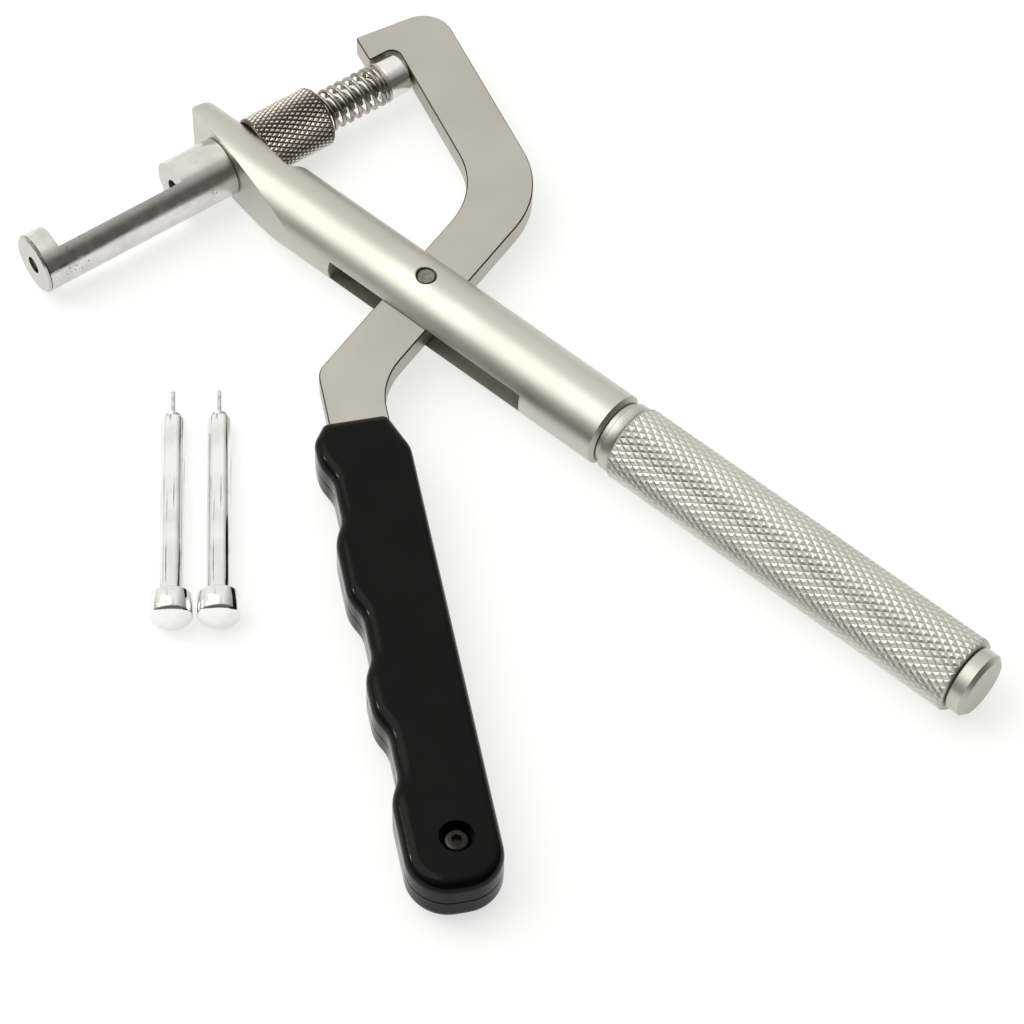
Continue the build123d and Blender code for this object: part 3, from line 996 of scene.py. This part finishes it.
@dataclass
class ReturnSpring:
    """Compression spring with a closed turn at each end.

    Attributes:
        mean: mean radius of the coil.
        wire: radius of the wire.
        seat: where the spring starts on the jaw's spindle.
        top: where it ends.
        turns: open turns between the closed ones.
        closed_pitch: pitch of the closed turns, a little over the wire.
        steps: sections in each turn.
        wire_sides: corners of the wire's section.
        ease: not used.
        weld: widest gap that is closed between two coils' end sections.
    """

    mean: float = 4.2
    wire: float = 0.45
    seat: float = 12.6
    top: float = 38.0
    turns: int = 11
    closed_pitch: float = 0.92
    steps: int = 40
    wire_sides: int = 12
    ease: float = 5.0
    weld: float = 0.01

    def coil(self, name: str, start: float, pitch: float, turns: int) -> Piece:
        """Screws the wire's section round the Z axis.

        Args:
            name: the piece's name.
            start: where the coil starts along Z.
            pitch: its pitch.
            turns: how many turns it has.

        Returns:
            The coil, open at both ends.
        """
        Bench.clear()
        bpy.ops.mesh.primitive_circle_add(
            vertices=self.wire_sides, radius=self.wire, fill_type="NOTHING"
        )
        piece = bpy.context.object
        piece.name = name
        with Bench.editing(piece):
            bpy.ops.mesh.select_all(action="SELECT")
            bpy.ops.transform.rotate(
                value=math.pi / 2, orient_axis="X", center_override=(0, 0, 0)
            )
            bpy.ops.transform.translate(value=(self.mean, 0, start))
        screw = piece.modifiers.new("coil", "SCREW")
        screw.screw_offset = pitch
        screw.iterations = turns
        screw.steps = self.steps
        screw.render_steps = self.steps
        bpy.ops.object.modifier_apply(modifier=screw.name)
        return piece

    def build(self) -> None:
        """Makes the three coils and joins them between seat and washer."""
        low = self.seat + self.wire
        high = self.top - self.wire
        pitch = (high - low - 2 * self.closed_pitch) / self.turns
        starts = (low, low + self.closed_pitch, high - self.closed_pitch)
        pitches = (self.closed_pitch, pitch, self.closed_pitch)
        counts = (1, self.turns, 1)
        coils = [
            self.coil(f"coil_{i}", starts[i], pitches[i], counts[i]) for i in range(len(starts))
        ]
        piece = Bench.join(coils)
        piece.name = "return_spring_wire"
        with Bench.editing(piece):
            bpy.ops.mesh.select_all(action="SELECT")
            bpy.ops.mesh.remove_doubles(threshold=self.weld)
            Bench.pick_edges(lambda edge: edge.is_boundary)
            bpy.ops.mesh.fill_holes(sides=self.wire_sides)
            Bench.face_out()
        Bench.settle(piece, JAW_SPINDLE.matrix(), smooth=60.0)
        mount(piece, SPRING_WIRE, "frame", ["return_spring"])
        piece.parent = None
        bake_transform(piece)


@dataclass(frozen=True)
class Punch:
    """Headed punch with a pressed-in needle.

    Attributes:
        shaft: radius of the shaft.
        head: radius of the head.
        shoulder: where the cone ends and the shaft starts on the jaw's spindle.
        head_start: underside of the head.
        head_length: length of the head's rim.
        dome: height of the domed end.
        cone: length of the cone.
        cone_tip: radius of the cone's tip.
        tip_edge: length and depth of the tip's broken edge.
        rings: grooves round the cone.
        groove: half width of a groove.
        shoulder_edge: length and depth of the shoulder's broken edge.
        fillet: size of the corner under the head.
        edge: radius of the head's lower edge.
        edge_steps: rings in that edge.
        rim: how far before the rim's end, and how deep, each ring of its upper edge is.
        dome_steps: rings in the dome.
    """

    shaft: float = 2.5
    head: float = 4.35
    shoulder: float = -5.3
    head_start: float = 38.7
    head_length: float = 4.9
    dome: float = 1.2
    cone: float = 1.9
    cone_tip: float = 1.3
    tip_edge: tuple[float, float] = (0.12, 0.15)
    rings: int = 2
    groove: float = 0.09
    shoulder_edge: tuple[float, float] = (0.2, 0.03)
    fillet: float = 0.25
    edge: float = 0.3
    edge_steps: int = 4
    rim: Profile = ((0.25, 0.0), (0.05, 0.1))
    dome_steps: int = 8

    def profile(self) -> list[tuple[float, float]]:
        """Tip, ringed cone, shaft, rounded head and its dome."""
        tip = self.shoulder - self.cone
        length, depth = self.tip_edge
        points = [(tip, self.cone_tip - depth), (tip + length, self.cone_tip)]
        rise = (self.shaft - self.cone_tip) / (self.rings + 1)
        step = self.cone / (self.rings + 1)
        for index in range(self.rings):
            place = tip + step * (index + 1)
            radius = self.cone_tip + rise * (index + 1)
            points.append((place - self.groove, radius - self.groove / 2))
            points.append((place, radius - 2 * self.groove))
            points.append((place + self.groove, radius))
        length, depth = self.shoulder_edge
        points += [(self.shoulder, self.shaft - depth), (self.shoulder + length, self.shaft)]
        points.append((self.head_start - self.fillet, self.shaft))
        points.append((self.head_start, self.shaft + self.fillet))
        points.append((self.head_start, self.head - self.edge))
        for index in range(1, self.edge_steps + 1):
            turn = math.pi / 2 * index / self.edge_steps
            place = self.head_start + self.edge * (1 - math.cos(turn))
            points.append((place, self.head - self.edge * (1 - math.sin(turn))))
        top = self.head_start + self.head_length
        sphere = (self.head**2 + self.dome**2) / (2 * self.dome)
        reach = math.asin((self.head - self.edge) / sphere)
        points += [(top - before, self.head - deep) for before, deep in self.rim]
        for index in range(self.dome_steps):
            turn = reach * (1 - index / self.dome_steps)
            points.append((top + self.dome - sphere * (1 - math.cos(turn)), sphere * math.sin(turn)))
        return points

    def build(self) -> Piece:
        """Turns the punch about Z, in the jaw spindle's millimetres."""
        return TurnedPiece("polished_punch", self.profile()).build()


@dataclass
class Punches:
    """The fitted punch and the two spare ones.

    Attributes:
        punch: the turned punch that all three are copies of.
        spares: how many spares lie beside the tool.
        needle_tip: the needle's point on the fitted punch's spindle.
        end_reach: length of needle, in metres, that counts as its end.
    """

    punch: Punch = Punch()
    spares: int = 2
    needle_tip: float = -13.0
    end_reach: float = 0.0002

    def spare_spindle(self, index: int) -> tuple[Spindle, Matrix]:
        """Where a spare lies, found from its needle and its body.

        Args:
            index: one for the first spare and two for the second.

        Returns:
            Its spindle, and the matrix that takes the fitted punch's millimetres to it.
        """
        origin = pivot_point()
        needle = [Vector(v.co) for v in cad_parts[f"spare_punch_{index}_needle"].data.vertices]
        body = [Vector(v.co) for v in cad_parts[f"spare_punch_{index}_body"].data.vertices]
        tip = sum(needle, Vector()) / len(needle)
        rough = (sum(body, Vector()) / len(body) - tip).normalized()
        reach = [point.dot(rough) for point in needle]
        ends = (min(reach), max(reach))
        close = [p for p, r in zip(needle, reach) if r - ends[0] < self.end_reach]
        far = [p for p, r in zip(needle, reach) if ends[1] - r < self.end_reach]
        first = sum(close, Vector()) / len(close)
        along = (sum(far, Vector()) / len(far) - first).normalized()
        start = (first - origin) / MM - along * self.needle_tip
        across = along.cross(Vector((0, 0, 1))).normalized()
        spindle = Spindle(start, along, across)
        return spindle, spindle.matrix()

    def build(self) -> None:
        """Makes one punch, copies it for the spares, and dresses the needles."""
        master = self.punch.build()
        for index in range(1, self.spares + 1):
            spindle, matrix = self.spare_spindle(index)
            twin = Bench.copy(master, f"spare_punch_{index}")
            Bench.settle(twin, matrix)
            plate = replace(SPARE_NICKEL, name=f"polished_nickel_spare_{index}", spindle=spindle)
            steel = replace(NEEDLE_STEEL, name=f"needle_steel_{index}", spindle=spindle)
            body = f"spare_punch_{index}"
            mount(twin, plate, body, [f"spare_punch_{index}_body"])
            dress(f"spare_punch_{index}_needle", steel)
        Bench.settle(master, JAW_SPINDLE.matrix())
        mount(master, POLISHED_NICKEL, "punch", ["punch_body"])
        dress("punch_needle", NEEDLE_STEEL)
        dress("punch_washer", ZINC_STEEL)


@dataclass
class Lever:
    """Hooked plate, its two-part grip, screw and nut."""

    def build(self) -> None:
        """Dresses the lever's pieces."""
        dress("lever_plate", PLATE_STEEL)
        dress("grip_shell_upper", BLACK_NYLON)
        dress("grip_shell_lower", BLACK_NYLON)
        dress("grip_screw", SCREW_STEEL)
        dress("grip_nut", ZINC_STEEL)


@dataclass
class Handle:
    """Knurled tube with its turned neck, stud and end plug.

    Attributes:
        knurl: its knurled tube, with places on the bar's spindle.
        neck: (place, radius) of each ring of the turned neck.
    """

    knurl: KnurledPiece = KnurledPiece(
        name="knurled_handle",
        peak=8.2,
        start=55.1,
        end=139.34,
        around=31,
        rows=31,
        depth=0.27,
        slope=0.50,
        chamfer=0.13,
        bore=5.2,
    )
    neck: Profile = (
        (51.05, 4.1), (51.05, 6.6), (51.15, 6.7), (52.4, 6.7), (52.4, 7.55), (52.55, 7.7),
        (54.4, 7.7), (54.75, 7.5), (54.75, 4.1),
    )

    def build(self) -> None:
        """Makes the knurled tube and the neck, and dresses the stud and the plug."""
        tube = self.knurl.build()
        Bench.settle(tube, BAR_SPINDLE.matrix(), smooth=20.0)
        mount(tube, KNURLED_ALUMINIUM, "handle", ["handle_tube"])
        neck = TurnedPiece("handle_neck", self.neck, hollow=True).build()
        Bench.settle(neck, BAR_SPINDLE.matrix())
        mount(neck, SATIN_ALUMINIUM, "handle")
        dress("handle_stud", ZINC_STEEL)
        dress("end_plug", SATIN_ALUMINIUM)


# ---------------------------------------------------------------- studio
@dataclass(frozen=True)
class LitAcrylic:
    """Matt opal acrylic lit from below, so that shadows stay faint.

    Attributes:
        name: the material's name.
        base: hex colour of the sheet.
        rough: its roughness.
        glow: strength of the light that comes through it.
    """

    name: str = "lit_opal_acrylic"
    base: str = "#B3B3B2"
    rough: float = 0.9
    glow: float = 0.64

    def material(self) -> bpy.types.Material:
        """The finished node material."""
        made = bpy.data.materials.new(self.name)
        made.use_nodes = True
        tree = made.node_tree
        tree.nodes.clear()
        inputs = {
            "Base Color": linear(self.base),
            "Roughness": self.rough,
            "Emission Color": linear("#FFFFFF"),
            "Emission Strength": self.glow,
        }
        shader = add_node(tree, "BsdfPrincipled", None, inputs)
        add_node(tree, "OutputMaterial", None, {"Surface": shader.outputs["BSDF"]})
        return made


@dataclass(frozen=True)
class Lamp:
    """A square soft box that looks at the tool.

    Attributes:
        name: the lamp's name.
        place: where it is, in metres.
        size: its side, in metres.
        power: its power in watts.
        tint: hex colour of its light.
    """

    name: str
    place: tuple[float, float, float]
    size: float
    power: float
    tint: str = "#FFFEF9"

    def build(self) -> None:
        """Adds the lamp."""
        data = bpy.data.lights.new(self.name, "AREA")
        data.shape = "SQUARE"
        data.size = self.size
        data.energy = self.power
        data.color = linear(self.tint)[:3]
        lamp = bpy.data.objects.new(self.name, data)
        lamp.location = self.place
        lamp.rotation_euler = Vector(self.place).to_track_quat("Z", "Y").to_euler()
        bpy.context.scene.collection.objects.link(lamp)


@dataclass
class Studio:
    """Pale floor, soft light and the camera.

    Attributes:
        target: what the camera looks at, in millimetres from the pivot.
        distance: from target to camera, in millimetres.
        azimuth: degrees round from looking along +Y.
        elevation: degrees above the floor.
        roll: degrees that the camera is turned about its view.
        lens: focal length, in millimetres.
        sensor: width of its sensor, in millimetres.
        clip: nearest and farthest distance that the camera sees, in metres.
        sky_axis: where the brightest part of the room is.
        sky_dark: strength of the room light away from there.
        sky_dim: the same, on the way there.
        sky_bright: what is added there.
        dim_span: cosine to the sky axis from dark to dim.
        bright_span: the same, from dim to bright.
        sky_tint: hex colour of the room light.
        lamps: the soft boxes.
        floor_size: side of the floor, in metres.
        floor_cuts: cuts across the floor each way.
    """

    target: tuple[float, float, float] = (47.993, -28.845, 0.0)
    distance: float = 816.078
    azimuth: float = 38.712
    elevation: float = 55.524
    roll: float = 2.181
    lens: float = 144.0
    sensor: float = 36.0
    clip: tuple[float, float] = (0.01, 20.0)
    sky_axis: tuple[float, float, float] = (-0.60, 0.30, 0.72)
    sky_dark: float = 0.13
    sky_dim: float = 0.52
    sky_bright: float = 0.52
    dim_span: tuple[float, float] = (-0.05, 0.38)
    bright_span: tuple[float, float] = (0.38, 0.82)
    sky_tint: str = "#FFFEF9"
    lamps: Sequence[Lamp] = (
        Lamp("overhead_soft_box", (-0.45, -0.30, 0.95), 1.0, 4.4),
        Lamp("low_spot", (-0.95, -0.50, 0.60), 0.09, 1.5),
    )
    floor_size: float = 4.0
    floor_cuts: int = 4

    def camera(self) -> None:
        """Adds the camera."""
        turn, lift = math.radians(self.azimuth), math.radians(self.elevation)
        flat = math.cos(lift)
        back = Vector((math.sin(turn) * flat, -math.cos(turn) * flat, math.sin(lift)))
        right = Vector((math.cos(turn), math.sin(turn), 0))
        up = back.cross(right)
        tilt = math.radians(self.roll)
        across = right * math.cos(tilt) + up * math.sin(tilt)
        upward = up * math.cos(tilt) - right * math.sin(tilt)
        data = bpy.data.cameras.new("camera")
        data.sensor_width = self.sensor
        data.lens = self.lens
        data.clip_start, data.clip_end = self.clip
        camera = bpy.data.objects.new("camera", data)
        bpy.context.scene.collection.objects.link(camera)
        place = pivot_point() + (Vector(self.target) + back * self.distance) * MM
        rotation = Matrix((across, upward, back)).transposed().to_4x4()
        camera.matrix_world = Matrix.Translation(place) @ rotation
        bpy.context.scene.camera = camera

    def world(self) -> None:
        """Room light: brightest high on the left, and dimmest low on the right."""
        world = bpy.data.worlds.new("studio")
        world.use_nodes = True
        tree = world.node_tree
        tree.nodes.clear()
        where = add_node(tree, "TexCoord").outputs["Generated"]
        inputs = {0: where, 1: tuple(Vector(self.sky_axis).normalized())}
        toward = add_node(tree, "VectorMath", DOT, inputs).outputs["Value"]
        inputs = spanned(toward, self.bright_span, (0.0, self.sky_bright))
        glow = add_node(tree, "MapRange", SMOOTH, inputs).outputs["Result"]
        inputs = spanned(toward, self.dim_span, (self.sky_dark, self.sky_dim))
        shade = add_node(tree, "MapRange", None, inputs).outputs["Result"]
        whole = add_node(tree, "Math", PLUS, {0: glow, 1: shade}).outputs["Value"]
        inputs = {"Color": linear(self.sky_tint), "Strength": whole}
        background = add_node(tree, "Background", None, inputs).outputs["Background"]
        add_node(tree, "OutputWorld", None, {"Surface": background})
        bpy.context.scene.world = world

    def floor(self) -> None:
        """Adds the light table that the tool lies on."""
        Bench.clear()
        bpy.ops.mesh.primitive_plane_add(size=self.floor_size, location=(0, 0, 0))
        floor = bpy.context.object
        floor.name = "floor"
        with Bench.editing(floor):
            bpy.ops.mesh.select_all(action="SELECT")
            bpy.ops.mesh.subdivide(number_cuts=self.floor_cuts)
        floor.data.materials.append(LitAcrylic().material())

    def build(self) -> None:
        """Adds camera, light and floor."""
        self.camera()
        self.world()
        for lamp in self.lamps:
            lamp.build()
        self.floor()
        bpy.context.scene.view_settings.view_transform = "Standard"


def main() -> None:
    """Builds the tool and the studio."""
    logging.basicConfig(level=logging.INFO, format="%(message)s")
    Studio().build()
    for assembly in (Frame(), LockingSleeve(), ReturnSpring(), Punches(), Lever(), Handle()):
        assembly.build()
        LOG.info("finished %s", type(assembly).__name__)


if __name__ == "__main__":
    main()
